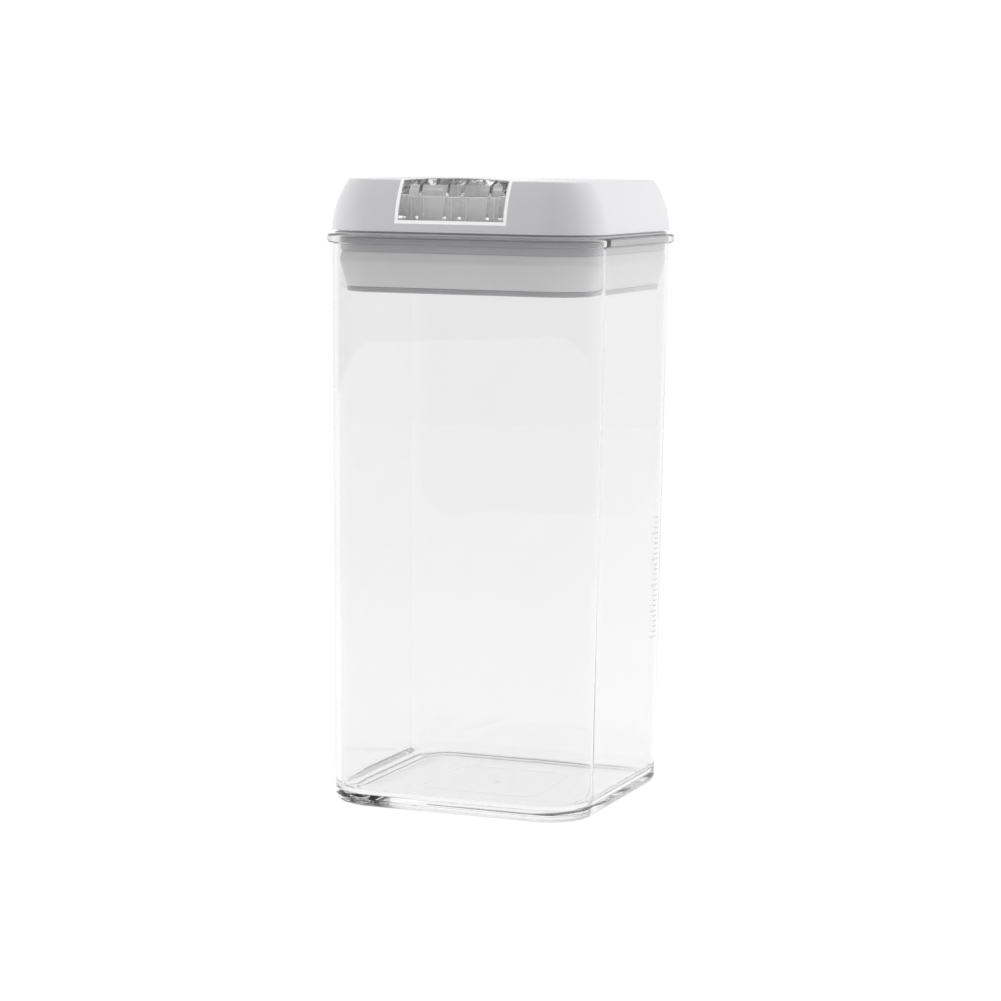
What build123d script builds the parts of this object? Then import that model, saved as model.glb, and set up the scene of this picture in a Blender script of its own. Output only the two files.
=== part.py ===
from build123d import *

import math
import os

# Square food canister with a flip-lever lid.
#
# A clear, slightly drafted jar with a rim flange carries a domed lid. The clear lever in the lid
# turns on a pin through a draw stem. Pressed flat, its cams pull the stem and the press plate up,
# and the plate squeezes a silicone seal out against the jar's neck. Lifted, the cams let a spring
# push the plate down, and the seal draws in.
#
# Units are millimetres. The origin is under the middle of the foot ring, +Z is up, and the
# lever's lip faces -Y. Every ring-shaped piece is a profile of (half width, height) points carried
# round one rounded square, whose corner axes all pieces share.

# ---- driving dimensions: jar ----
JAR_HEIGHT = 211.5  # foot to the top of the rim
JAR_WIDTH = 106.0  # outside, just under the rim
JAR_TAPER = 4.2  # how much narrower the jar is at its foot
JAR_CORNER = 20.0  # outside corner radius under the rim
JAR_WALL = 2.2
FLOOR_THICKNESS = 3.0  # over the foot recess
FOOT_EDGE = 3.4  # outside edge radius at the base
FLOOR_EDGE = 4.5  # inside edge radius at the floor
FOOT_RING = 5.0  # flat width of the ring that the jar stands on
FOOT_RECESS = 1.0
BASE_PAD = 46.0  # square pad moulded under the floor
BASE_PAD_STEP = 0.4
GATE_RADIUS = 1.6
GATE_HEIGHT = 0.5
PAD_CORNER = 6.0
RIM_REACH = 2.0  # how far the flange stands out beyond the wall
RIM_THICKNESS = 3.4
RIM_EDGE = 1.1
RIM_MOUTH_EDGE = 0.4

# ---- driving dimensions: lid shell ----
LID_HEIGHT = 20.0  # rim to the flat top
LID_OVERHANG = 0.25  # how far its lower edge stands out beyond the wall
LID_INSET = 6.3  # how far the flat top is drawn in on each side
LID_WALL = 2.2
LID_TOP_WALL = 2.4
LID_TOP_EDGE = 0.9
SHADOW_GAP = 0.6  # between the lid's outer edge and the rim
BEAD_WIDTH = 1.4  # inner bead that stands on the rim
BEAD_SETBACK = 0.3  # from the shell's inner face
BEAD_ROOT = 1.5  # how far the bead rises into the shell's wall

# ---- driving dimensions: lever, its slot and its cams ----
SLOT_WIDTH = 40.8
SLOT_DEPTH = 14.5  # below the lid's top, where the lip hangs
SLOT_CLEARANCE = 0.3
SLOT_WALL = 1.2  # of the white well that lines the slot
LEVER_THICKNESS = 6.3
LEVER_CROWN = 0.8  # rise of the lever's middle above its sides
LEVER_WALL = 2.2  # of the lever, which is hollow underneath
LEVER_RIB = 1.2
LEVER_RIB_PLACES = (-13.6, -2.9, 2.9, 13.6)  # of the ribs' middles, from the middle
HOLLOW_BACK = 9.0  # from the pivot to the back of the hollow
LIP_THICKNESS = 5.8
LIP_FOOT_GAP = 0.5
LIP_EDGE = 1.2
BARREL_RADIUS = 5.2
PIN_RADIUS = 1.5
PIN_END_GAP = 1.2  # how far the pin stops short of the lever's sides
PIN_RUNNING = 0.05  # radial clearance of the pin in the stem
CAM_LIFT = 3.0  # how far the plate rises as the lever is pressed flat
CAM_WIDTH = 7.5
CAM_INNER = 4.6  # from the middle to a cam's inner face
CAM_FLAT = 3.0
CAM_SWING_GAP = 0.4
CAM_GAP = 0.15  # between the cams and their wear plate
WEAR_PLATE = 0.8
WEAR_MARGIN = 1.5  # of the wear plate beyond the cams
WEAR_CORNER = 1.5
WEAR_GAP = 0.3  # between the wear plate and the well's walls
LEVER_BED_GAP = 0.2  # under the lever
OPEN_ANGLE = math.radians(90)

# ---- driving dimensions: stem, plate, deck, seal and spring ----
STEM_RADIUS = 3.5
STEM_CLEARANCE = 0.1
STEM_EYE = 3.6
STEM_EYE_WIDTH = 7.6
STEM_EYE_GAP = 0.4
DECK_DEPTH = 6.2  # how far the deck reaches below the rim
DECK_WALL = 2.0
DECK_FLOOR = 2.2
DECK_RISE = 1.4  # how far its wall rises inside the lid shell
DECK_SIDE_GAP = 0.6  # between the deck and the neck
DECK_CHAMFER = 0.6
RIB_HEIGHT = 0.6
RIB_PROUD = 0.35
RIB_DRAFT = 0.1
RIB_PITCH = 1.9
GUIDE_WALL = 2.6
GUIDE_GAP = 0.2  # between the stem's guide and the slot's floor
SEAL_HEIGHT = 12.8
SEAL_WALL = 1.6
SEAL_NECK_GAP = 0.25  # between the seal's bulge and the neck
SEAL_BULGE_DROP = 3.6  # from the seal's top to its widest place
SEAL_BULGE_RADIUS = 3.0
SEAL_FLANGE = 6.0
PLATE_NECK_GAP = 3.1  # between the press plate and the neck
PLATE_EDGE_HEIGHT = 2.0
PLATE_EDGE = 0.8
PLATE_WALL = 1.6
PLATE_CURB = 4.0  # height of the curb that stands inside the seal
CURB_GAP = 0.4  # between the curb and the seal's foot
BOSS_WALL = 2.5  # round the stem
STEM_SEAT = 3.4  # how deep the stem sits in the boss
STEM_WEB = 1.6  # between the stem's foot and the screw's washer
SPRING_WIRE = 1.0
SPRING_RADIUS = 8.0
SPRING_TURNS = 4.5

# ---- driving dimensions: fasteners ----
STEM_SCREW_RADIUS = 2.0
STEM_SCREW_HEAD_RADIUS = 3.8
STEM_SCREW_HEAD = 2.2
STEM_SCREW_GRIP = 9.0
WASHER_THICKNESS = 0.8
WASHER_RADIUS = 4.3
CAP_RADIUS = 7.0
CAP_THICKNESS = 1.0
CAP_SPIGOT = 0.8
CAP_HEAD_GAP = 0.2
DECK_SCREW_INSET = 16.0  # from the deck's side, along X and along Y
DECK_SCREW_RADIUS = 1.4
DECK_SCREW_HEAD_RADIUS = 2.8
DECK_SCREW_HEAD = 1.8
DECK_SCREW_LENGTH = 10.0
CROSS_WIDTH = 0.6  # of the slots in the screws' heads
CROSS_DEPTH = 1.0
LID_BOSS_RADIUS = 3.6
SCREW_SLACK = 0.1

# ---- places worked out from the sizes above ----
AXIS = JAR_WIDTH / 2 - JAR_CORNER  # corner axes, from the middle
RIM_UNDER = JAR_HEIGHT - RIM_THICKNESS
LID_TOP = JAR_HEIGHT + LID_HEIGHT
SHELL_FOOT = JAR_HEIGHT + SHADOW_GAP
SLOT_FLOOR = LID_TOP - SLOT_DEPTH
PIVOT = LID_TOP - BARREL_RADIUS
SLOT_BACK = BARREL_RADIUS + LEVER_CROWN + CAM_SWING_GAP
WEAR_TOP = SLOT_FLOOR + WEAR_PLATE
CAM_RADIUS = PIVOT - WEAR_TOP - CAM_GAP  # pivot to the cams' flat
LEVER_UNDER = LID_TOP - LEVER_THICKNESS
CAM_PER_RADIAN = CAM_LIFT / OPEN_ANGLE
CAM_REACH = math.hypot(CAM_FLAT + CAM_PER_RADIAN, CAM_RADIUS)
WELL_FRONT = CAM_REACH + CAM_SWING_GAP
DECK_UNDER = JAR_HEIGHT - DECK_DEPTH
SEAL_UNDER = DECK_UNDER - SEAL_HEIGHT
PLATE_UNDER = SEAL_UNDER - PLATE_EDGE_HEIGHT
PLATE_TOP = SEAL_UNDER
CAP_TOP = PLATE_UNDER + CAP_THICKNESS + CAP_SPIGOT
WASHER_FACE = CAP_TOP + CAP_HEAD_GAP + STEM_SCREW_HEAD + WASHER_THICKNESS
STEM_FOOT = WASHER_FACE + STEM_WEB
BOSS_TOP = STEM_FOOT + STEM_SEAT
SHELL_HALF = JAR_WIDTH / 2 + LID_OVERHANG
BEAD_INNER = SHELL_HALF - LID_WALL - BEAD_SETBACK


def jar_half(z):
    # Half the jar's outside width at a height, following its draft.
    return (JAR_WIDTH - JAR_TAPER * (1 - z / RIM_UNDER)) / 2


NECK_HALF = jar_half(DECK_UNDER - SEAL_BULGE_DROP) - JAR_WALL
DECK_HALF = NECK_HALF - DECK_SIDE_GAP
PLATE_HALF = NECK_HALF - PLATE_NECK_GAP
DECK_SCREW_SPREAD = DECK_HALF - DECK_SCREW_INSET


def face_of(points):
    # a closed outline of (half width, height) or (half width, height, corner radius) points
    path = FilletPolyline(
        *[(p[0], p[1]) for p in points],
        radius=[p[2] if len(p) > 2 else 0 for p in points],
        close=True,
    )
    return make_face(path)


def carried_round(profile):
    # Carries a profile round the rounded square; its x counts from the middle to a side.
    section = Plane.XZ * (Pos(-AXIS, 0) * profile)
    corner = Pos(AXIS, AXIS, 0) * revolve(section, Axis.Z, 90)
    side = Pos(AXIS, 0, 0) * extrude(section, amount=AXIS, both=True)
    quarters = [Rot(0, 0, 90 * k) * piece for k in range(4) for piece in (corner, side)]
    ring = quarters[0]
    for piece in quarters[1:]:
        ring = ring + piece
    return ring


def filled_round(points, low, high):
    # A solid whose outline rises from low to high, filled to the middle.
    closed = [(AXIS, low), *points, (AXIS, high)]
    core = Pos(0, 0, (low + high) / 2) * Box(2 * AXIS, 2 * AXIS, high - low)
    return carried_round(face_of(closed)) + core


def block(x, y, z):
    # A box from three (low, high) pairs.
    return Pos((x[0] + x[1]) / 2, (y[0] + y[1]) / 2, (z[0] + z[1]) / 2) * Box(
        x[1] - x[0], y[1] - y[0], z[1] - z[0]
    )


def rod(radius, low, high, x=0.0, y=0.0):
    # An upright round bar.
    return Pos(x, y, (low + high) / 2) * Cylinder(radius, high - low)


def canister_body():
    rim_half = JAR_WIDTH / 2 + RIM_REACH
    mouth_half = jar_half(JAR_HEIGHT) - JAR_WALL
    outside = filled_round(
        [
            (jar_half(0), 0, FOOT_EDGE),
            (jar_half(RIM_UNDER), RIM_UNDER),
            (rim_half, RIM_UNDER, RIM_EDGE),
            (rim_half, JAR_HEIGHT, RIM_EDGE),
            (mouth_half, JAR_HEIGHT, RIM_MOUTH_EDGE),
            (mouth_half, JAR_HEIGHT - 1),
        ],
        0,
        JAR_HEIGHT - 1,
    )
    floor = FOOT_RECESS + FLOOR_THICKNESS
    inside = filled_round(
        [(jar_half(floor) - JAR_WALL, floor, FLOOR_EDGE), (mouth_half, JAR_HEIGHT)],
        floor,
        JAR_HEIGHT,
    )
    recess_half = jar_half(0) - FOOT_EDGE - FOOT_RING
    recess = filled_round([(recess_half + 1, -1), (recess_half, FOOT_RECESS, 0.5)], -1, FOOT_RECESS)
    pad_outline = RectangleRounded(BASE_PAD, BASE_PAD, PAD_CORNER)
    pad = Pos(0, 0, FOOT_RECESS) * extrude(pad_outline, BASE_PAD_STEP)
    gate = rod(GATE_RADIUS, FOOT_RECESS + BASE_PAD_STEP - GATE_HEIGHT, FOOT_RECESS + FLOOR_THICKNESS / 2)
    return outside - inside - recess - pad + gate


def dome(half, foot, top, edge):
    # The lid's outline: upright at its lower edge, drawn in by LID_INSET on an arc at its top.
    rise = LID_TOP - SHELL_FOOT
    radius = (rise**2 + LID_INSET**2) / (2 * LID_INSET)
    radius -= SHELL_HALF - half
    centre = half - radius
    reach = math.asin((top - SHELL_FOOT) / radius)

    def on_arc(angle):
        return (centre + radius * math.cos(angle), SHELL_FOOT + radius * math.sin(angle))

    side = ThreePointArc(on_arc(0), on_arc(reach / 2), on_arc(reach))
    lines = [
        Line((AXIS, foot), (half, foot)),
        side,
        Line(on_arc(reach), (AXIS, top)),
        Line((AXIS, top), (AXIS, foot)),
    ]
    if foot < SHELL_FOOT:
        lines.insert(1, Line((half, foot), (half, SHELL_FOOT)))
    profile = make_face(lines)
    if edge:
        corner = profile.vertices().sort_by_distance((*on_arc(reach), 0))[0]
        profile = fillet(corner, edge)
    core = Pos(0, 0, (foot + top) / 2) * Box(2 * AXIS, 2 * AXIS, top - foot)
    return carried_round(profile) + core


def outer_dome():
    return dome(SHELL_HALF, SHELL_FOOT, LID_TOP, LID_TOP_EDGE)


def slot_room(wall=0.0):
    # The space for the lip, the lever's plate and the cams, grown by a wall.
    side = SLOT_WIDTH / 2 + wall
    over = LID_TOP + 10
    front = -SHELL_HALF - 1
    lip_back = front_at(LID_TOP - LEVER_THICKNESS) + LIP_THICKNESS + SLOT_CLEARANCE
    lip = block((-side, side), (front, lip_back + wall), (SLOT_FLOOR - wall, over))
    plate = block((-side, side), (front, SLOT_BACK + wall), (LEVER_UNDER - LEVER_BED_GAP - wall, over))
    well = block((-side, side), (-WELL_FRONT - wall, SLOT_BACK + wall), (SLOT_FLOOR - wall, over))
    return lip + plate + well


def front_at(z):
    # Y of the lid's front face at a height, in the middle of the side.
    rise = LID_TOP - SHELL_FOOT
    radius = (rise**2 + LID_INSET**2) / (2 * LID_INSET)
    return -(SHELL_HALF - radius + math.sqrt(radius**2 - (z - SHELL_FOOT) ** 2))


def deck_screw_places():
    return [(sx * DECK_SCREW_SPREAD, sy * DECK_SCREW_SPREAD) for sx in (-1, 1) for sy in (-1, 1)]


def lid_cover():
    outer = outer_dome()
    hollow = dome(SHELL_HALF - LID_WALL, SHELL_FOOT - 1, LID_TOP - LID_TOP_WALL, 0)
    bead = carried_round(
        face_of(
            [
                (BEAD_INNER, JAR_HEIGHT),
                (BEAD_INNER + BEAD_WIDTH, JAR_HEIGHT, 0.3),
                (BEAD_INNER + BEAD_WIDTH, SHELL_FOOT + BEAD_ROOT),
                (BEAD_INNER, SHELL_FOOT + BEAD_ROOT),
            ]
        )
    )
    shell = outer - hollow + bead
    posts = [
        rod(LID_BOSS_RADIUS, DECK_UNDER + DECK_FLOOR, LID_TOP - LID_TOP_WALL / 2, x, y)
        for x, y in deck_screw_places()
    ]
    pilots = [
        rod(
            DECK_SCREW_RADIUS + SCREW_SLACK,
            DECK_UNDER,
            DECK_UNDER + DECK_FLOOR + DECK_SCREW_LENGTH,
            x,
            y,
        )
        for x, y in deck_screw_places()
    ]
    body = shell
    for post in posts:
        body = body + post
    body = body - slot_room(SLOT_WALL)
    for pilot in pilots:
        body = body - pilot
    return body


def lever_well():
    # White liner that is pressed into the shell and makes the slot's walls and floor.
    stem_hole = rod(STEM_RADIUS + STEM_CLEARANCE, SLOT_FLOOR - 5, SLOT_FLOOR + 5)
    return (slot_room(SLOT_WALL) & outer_dome()) - slot_room() - stem_hole


def cam_outline():
    # Side view of one cam about the pivot, as (y, z).
    # The distance from the pivot to the wear plate falls evenly with the lever's angle, so the
    # cam's flank is the involute of a circle whose radius is the lift per radian.
    flank = []
    steps = 12
    for k in range(steps + 1):
        a = OPEN_ANGLE * k / steps
        h = CAM_RADIUS - CAM_PER_RADIAN * a
        y = h * math.sin(a) - CAM_PER_RADIAN * math.cos(a)
        z = -h * math.cos(a) - CAM_PER_RADIAN * math.sin(a)
        flank.append((y, z))
    start, end = flank[0], flank[-1]
    flat = (start[0] - CAM_FLAT, start[1])
    lines = [
        Spline(flank),
        Line(end, (end[0], 0)),
        Line((end[0], 0), (flat[0], 0)),
        Line((flat[0], 0), flat),
        Line(flat, start),
    ]
    return make_face(lines)


def along_x(profile, low, high, y=0.0, z=0.0):
    # Extrudes a side view, drawn in (y, z), from x = low to x = high.
    plane = Plane((low, y, z), x_dir=(0, 1, 0), z_dir=(1, 0, 0))
    return extrude(plane * profile, amount=high - low)


def lever_hollow(half):
    # the space under the lever, in front of its cams, left open below between the ribs
    inside = dome(SHELL_HALF - LEVER_WALL, SHELL_FOOT - 1, LID_TOP - LEVER_WALL, 0)
    edges = [-half + LEVER_WALL]
    for place in LEVER_RIB_PLACES:
        edges += [place - LEVER_RIB / 2, place + LEVER_RIB / 2]
    edges.append(half - LEVER_WALL)
    bays = [
        block((low, high), (-SHELL_HALF, -HOLLOW_BACK), (SHELL_FOOT, LID_TOP))
        for low, high in zip(edges[::2], edges[1::2])
    ]
    hollow = bays[0]
    for bay in bays[1:]:
        hollow = hollow + bay
    return hollow & inside


def flip_lever():
    half = SLOT_WIDTH / 2 - SLOT_CLEARANCE
    lip_under = SLOT_FLOOR + LIP_FOOT_GAP
    lip_back = front_at(LEVER_UNDER) + LIP_THICKNESS
    over = LID_TOP + LEVER_CROWN + 1
    side_view = face_of(
        [
            (-SHELL_HALF - 2, lip_under),
            (lip_back, lip_under, LIP_EDGE),
            (lip_back, LEVER_UNDER, SLOT_CLEARANCE),
            (0, LEVER_UNDER),
            (0, over),
            (-SHELL_HALF - 2, over),
        ]
    )
    barrel = Pos(0, PIVOT) * Ellipse(BARREL_RADIUS, BARREL_RADIUS + LEVER_CROWN)
    blank = along_x(side_view + barrel, -half, half)
    crown_radius = (half**2 + LEVER_CROWN**2) / (2 * LEVER_CROWN)
    crown = (
        Pos(0, 0, LID_TOP + LEVER_CROWN - crown_radius)
        * Rot(90, 0, 0)
        * Cylinder(crown_radius, 3 * SHELL_HALF)
    )
    lever = blank & crown & dome(SHELL_HALF, SHELL_FOOT, LID_TOP + LEVER_CROWN, 0)
    brow = [e for e in lever.edges() if e.center().Z > LID_TOP and e.center().Y < front_at(LID_TOP) + 1]
    lever = fillet(brow, LID_TOP_EDGE)
    cams = [
        along_x(cam_outline(), low, low + CAM_WIDTH, 0, PIVOT)
        for low in (CAM_INNER, -CAM_INNER - CAM_WIDTH)
    ]
    lever = lever + cams[0] + cams[1]
    lever = lever - lever_hollow(half)
    eye_room = STEM_EYE + STEM_EYE_GAP
    gap = STEM_EYE_WIDTH / 2 + STEM_EYE_GAP
    reach = 3 * BARREL_RADIUS
    stem_sweep = (
        Circle(eye_room)
        + Pos((reach - eye_room) / 2, -reach / 2) * Rectangle(reach + eye_room, reach)
        + Pos(reach / 2, (eye_room - reach) / 2) * Rectangle(reach, reach + eye_room)
    )
    lever = lever - along_x(stem_sweep, -gap, gap, 0, PIVOT)
    pin_hole = along_x(Circle(PIN_RADIUS), -half - 1, half + 1, 0, PIVOT)
    return lever - pin_hole


def lever_pin():
    half = SLOT_WIDTH / 2 - SLOT_CLEARANCE - PIN_END_GAP
    return along_x(Circle(PIN_RADIUS), -half, half, 0, PIVOT)


def cam_plate():
    # Thin steel plate that the cams bear on.
    half_x = CAM_INNER + CAM_WIDTH + WEAR_MARGIN
    low_y, high_y = -WELL_FRONT + WEAR_GAP, SLOT_BACK - WEAR_GAP
    outline = Pos(0, (low_y + high_y) / 2) * RectangleRounded(2 * half_x, high_y - low_y, WEAR_CORNER)
    sheet = Pos(0, 0, SLOT_FLOOR) * extrude(outline, WEAR_PLATE)
    return sheet - rod(STEM_RADIUS + STEM_CLEARANCE, SLOT_FLOOR - 1, WEAR_TOP + 1)


def draw_stem():
    shank = rod(STEM_RADIUS, STEM_FOOT, PIVOT)
    eye = along_x(Circle(STEM_EYE), -STEM_EYE_WIDTH / 2, STEM_EYE_WIDTH / 2, 0, PIVOT)
    hole = along_x(Circle(PIN_RADIUS + PIN_RUNNING), -STEM_EYE_WIDTH, STEM_EYE_WIDTH, 0, PIVOT)
    tapped = rod(STEM_SCREW_RADIUS, STEM_FOOT - 1, STEM_FOOT + STEM_SCREW_GRIP + 1)
    room = block(
        (-STEM_EYE_WIDTH / 2, STEM_EYE_WIDTH / 2),
        (-STEM_EYE, STEM_EYE),
        (STEM_FOOT - 1, PIVOT + STEM_EYE),
    )
    return ((shank + eye) & room) - hole - tapped


def lid_deck():
    # White tray that closes the lid shell and carries the seal.
    under, top = DECK_UNDER, JAR_HEIGHT + DECK_RISE
    first_rib = JAR_HEIGHT - RIB_PITCH
    outline = [
        (DECK_HALF - DECK_CHAMFER, under, DECK_CHAMFER / 2),
        (DECK_HALF, under + DECK_CHAMFER),
    ]
    for z in (first_rib - RIB_PITCH, first_rib):
        outline += [
            (DECK_HALF, z),
            (DECK_HALF + RIB_PROUD, z + RIB_DRAFT),
            (DECK_HALF + RIB_PROUD, z + RIB_HEIGHT - RIB_DRAFT),
            (DECK_HALF, z + RIB_HEIGHT),
        ]
    outline += [(DECK_HALF, top)]
    tray = filled_round(outline, under, top)
    hollow = filled_round(
        [(DECK_HALF - DECK_WALL, under + DECK_FLOOR, 1.0), (DECK_HALF - DECK_WALL, top + 1)],
        under + DECK_FLOOR,
        top + 1,
    )
    guide_radius = STEM_RADIUS + STEM_CLEARANCE
    guide = rod(guide_radius + GUIDE_WALL, under, SLOT_FLOOR - SLOT_WALL - GUIDE_GAP)
    deck = tray - hollow + guide - rod(guide_radius, under - 1, LID_TOP)
    for x, y in deck_screw_places():
        deck = deck - rod(DECK_SCREW_RADIUS + SCREW_SLACK, under - 1, under + DECK_FLOOR + 1, x, y)
    return deck


def cross_slot(head_radius, low, x=0.0, y=0.0):
    # The two crossed slots in a screw's head.
    long, short = 0.55 * head_radius, CROSS_WIDTH / 2
    z = (low - 1, low + CROSS_DEPTH)
    one = block((x - long, x + long), (y - short, y + short), z)
    return one + block((x - short, x + short), (y - long, y + long), z)


def deck_screws():
    # Four self-tapping screws up through the deck into the lid's posts.
    screws = []
    for x, y in deck_screw_places():
        head_low = DECK_UNDER - DECK_SCREW_HEAD
        head = rod(DECK_SCREW_HEAD_RADIUS, head_low, DECK_UNDER, x, y)
        shank = rod(DECK_SCREW_RADIUS, DECK_UNDER, DECK_UNDER + DECK_FLOOR + DECK_SCREW_LENGTH - 1, x, y)
        screws.append(head + shank - cross_slot(DECK_SCREW_HEAD_RADIUS, head_low, x, y))
    return Compound(children=[s.solid() for s in screws])


def seal_gasket():
    # Silicone skirt, thin-walled, widest near its top and drawn in towards the press plate.
    top, under = DECK_UNDER, SEAL_UNDER
    widest = NECK_HALF - SEAL_NECK_GAP
    foot = PLATE_HALF
    top_half = DECK_HALF - DECK_CHAMFER
    bulge = top - SEAL_BULGE_DROP
    outline = [
        (top_half - SEAL_FLANGE, top),
        (top_half, top),
        (widest, bulge, SEAL_BULGE_RADIUS),
        (foot, under),
        (foot - SEAL_FLANGE, under),
        (foot - SEAL_FLANGE, under + SEAL_WALL),
        (foot - SEAL_WALL, under + SEAL_WALL),
        (widest - SEAL_WALL, bulge, SEAL_BULGE_RADIUS - 1),
        (top_half - SEAL_WALL, top - SEAL_WALL),
        (top_half - SEAL_FLANGE, top - SEAL_WALL),
    ]
    return carried_round(face_of(outline))


def press_plate():
    # White plate that squeezes the seal from below.
    half = PLATE_HALF
    curb = half - SEAL_FLANGE - CURB_GAP
    disc = filled_round(
        [(half, PLATE_UNDER, PLATE_EDGE), (half, PLATE_TOP, PLATE_EDGE / 2)], PLATE_UNDER, PLATE_TOP
    )
    wall = carried_round(
        face_of(
            [
                (curb - PLATE_WALL, PLATE_TOP - 0.5),
                (curb, PLATE_TOP - 0.5),
                (curb, PLATE_TOP + PLATE_CURB, 0.5),
                (curb - PLATE_WALL, PLATE_TOP + PLATE_CURB, 0.5),
            ]
        )
    )
    boss = rod(STEM_RADIUS + BOSS_WALL, PLATE_UNDER, BOSS_TOP)
    plate = disc + wall + boss
    plate = plate - rod(STEM_RADIUS + SCREW_SLACK, STEM_FOOT, BOSS_TOP + 1)
    plate = plate - rod(STEM_SCREW_RADIUS + SCREW_SLACK, PLATE_UNDER - 1, STEM_FOOT + 1)
    plate = plate - rod(WASHER_RADIUS + SCREW_SLACK, PLATE_UNDER - 1, WASHER_FACE)
    return plate - rod(CAP_RADIUS + SCREW_SLACK, PLATE_UNDER - 1, PLATE_UNDER + CAP_THICKNESS)


def seal_washer():
    ring = rod(WASHER_RADIUS, WASHER_FACE - WASHER_THICKNESS, WASHER_FACE)
    return ring - rod(STEM_SCREW_RADIUS + SCREW_SLACK, WASHER_FACE - 5, WASHER_FACE + 5)


def stem_screw():
    # Pan-head screw from below, through the plate into the stem.
    head_top = WASHER_FACE - WASHER_THICKNESS
    head_low = head_top - STEM_SCREW_HEAD
    head = rod(STEM_SCREW_HEAD_RADIUS, head_low, head_top)
    shank = rod(STEM_SCREW_RADIUS, head_top, STEM_FOOT + STEM_SCREW_GRIP)
    return head + shank - cross_slot(STEM_SCREW_HEAD_RADIUS, head_low)


def screw_cap():
    shoulder = PLATE_UNDER + CAP_THICKNESS
    disc = rod(CAP_RADIUS, PLATE_UNDER, shoulder)
    spigot = rod(WASHER_RADIUS - SCREW_SLACK, shoulder, CAP_TOP)
    bore = rod(WASHER_RADIUS - CAP_THICKNESS, shoulder, CAP_TOP + 1)
    return disc + (spigot - bore)


def return_spring():
    # Compression spring round the boss, from the press plate to the deck.
    low, high = PLATE_TOP + SPRING_WIRE / 2, DECK_UNDER - SPRING_WIRE / 2
    height = high - low
    path = Helix(height / SPRING_TURNS, height, SPRING_RADIUS)
    start = path @ 0
    section = Plane(start, z_dir=path % 0) * Circle(SPRING_WIRE / 2)
    coil = sweep(section, path=path, is_frenet=True)
    return Pos(0, 0, low) * coil


PIECES = {
    "canister_body": canister_body,
    "lid_cover": lid_cover,
    "lever_well": lever_well,
    "lid_deck": lid_deck,
    "deck_screws": deck_screws,
    "seal_gasket": seal_gasket,
    "press_plate": press_plate,
    "draw_stem": draw_stem,
    "stem_screw": stem_screw,
    "seal_washer": seal_washer,
    "screw_cap": screw_cap,
    "return_spring": return_spring,
    "cam_plate": cam_plate,
    "flip_lever": flip_lever,
    "lever_pin": lever_pin,
}

os.makedirs("parts", exist_ok=True)
for name, make in PIECES.items():
    export_step(make(), f"parts/{name}.step")
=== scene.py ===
import math

import bmesh
import bpy
from mathutils import Matrix, Vector


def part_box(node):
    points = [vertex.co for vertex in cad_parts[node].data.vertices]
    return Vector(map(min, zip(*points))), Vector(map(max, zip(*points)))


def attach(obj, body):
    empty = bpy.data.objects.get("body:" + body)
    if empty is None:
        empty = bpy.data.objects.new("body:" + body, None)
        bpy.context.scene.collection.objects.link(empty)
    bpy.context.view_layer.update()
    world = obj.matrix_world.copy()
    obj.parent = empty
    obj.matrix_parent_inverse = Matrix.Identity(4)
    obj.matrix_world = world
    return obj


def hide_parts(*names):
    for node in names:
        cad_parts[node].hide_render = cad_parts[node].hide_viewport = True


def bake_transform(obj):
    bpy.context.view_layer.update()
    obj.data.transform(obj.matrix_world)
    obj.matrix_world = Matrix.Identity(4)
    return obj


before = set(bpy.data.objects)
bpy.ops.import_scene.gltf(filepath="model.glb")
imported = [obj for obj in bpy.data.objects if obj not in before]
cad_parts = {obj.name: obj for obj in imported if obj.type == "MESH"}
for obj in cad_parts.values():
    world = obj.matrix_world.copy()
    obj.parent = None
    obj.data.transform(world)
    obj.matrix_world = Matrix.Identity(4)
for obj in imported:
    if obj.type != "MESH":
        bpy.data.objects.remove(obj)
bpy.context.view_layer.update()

mm = 0.001
tau = 2 * math.pi


# small tools

def linear(hexText):
    # sRGB hex to the linear colour that the shaders want
    out = []
    for k in (1, 3, 5):
        c = int(hexText[k:k + 2], 16) / 255
        out.append(c / 12.92 if c <= 0.04045 else ((c + 0.055) / 1.055) ** 2.4)
    return (*out, 1.0)


def addNode(tree, kind, wires=None, **settings):
    # wires: input name or number -> a value, or (node, output name or number)
    node = tree.nodes.new(kind)
    for key, value in settings.items():
        setattr(node, key, value)
    for key, value in (wires or {}).items():
        if isinstance(value, tuple) and isinstance(value[0], bpy.types.Node):
            tree.links.new(value[0].outputs[value[1]], node.inputs[key])
        else:
            node.inputs[key].default_value = value
    return node


def startTree(name, inputs):
    # a geometry tree with named inputs: name -> (socket type, default)
    tree = bpy.data.node_groups.new(name, "GeometryNodeTree")
    tree.interface.new_socket("Geometry", in_out="INPUT", socket_type="NodeSocketGeometry")
    for label, (kind, value) in inputs.items():
        socket = tree.interface.new_socket(label, in_out="INPUT",
                                           socket_type="NodeSocket" + kind)
        if value is not None:
            socket.default_value = value
    tree.interface.new_socket("Geometry", in_out="OUTPUT", socket_type="NodeSocketGeometry")
    return tree, tree.nodes.new("NodeGroupInput")


def endTree(tree, node, given):
    real = addNode(tree, "GeometryNodeRealizeInstances", {0: (node, 0)})
    dressed = addNode(tree, "GeometryNodeSetMaterial",
                      {"Geometry": (real, 0), "Material": (given, "Material")})
    addNode(tree, "NodeGroupOutput", {0: (dressed, 0)})


def placed(obj):
    bpy.context.scene.collection.objects.link(obj)
    return obj


def bake(obj):
    # the evaluated mesh replaces the modifiers
    bpy.context.view_layer.update()
    graph = bpy.context.evaluated_depsgraph_get()
    mesh = bpy.data.meshes.new_from_object(obj.evaluated_get(graph))
    mesh.name = obj.name
    old = obj.data
    obj.modifiers.clear()
    obj.data = mesh
    bpy.data.meshes.remove(old)
    return obj


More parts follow.
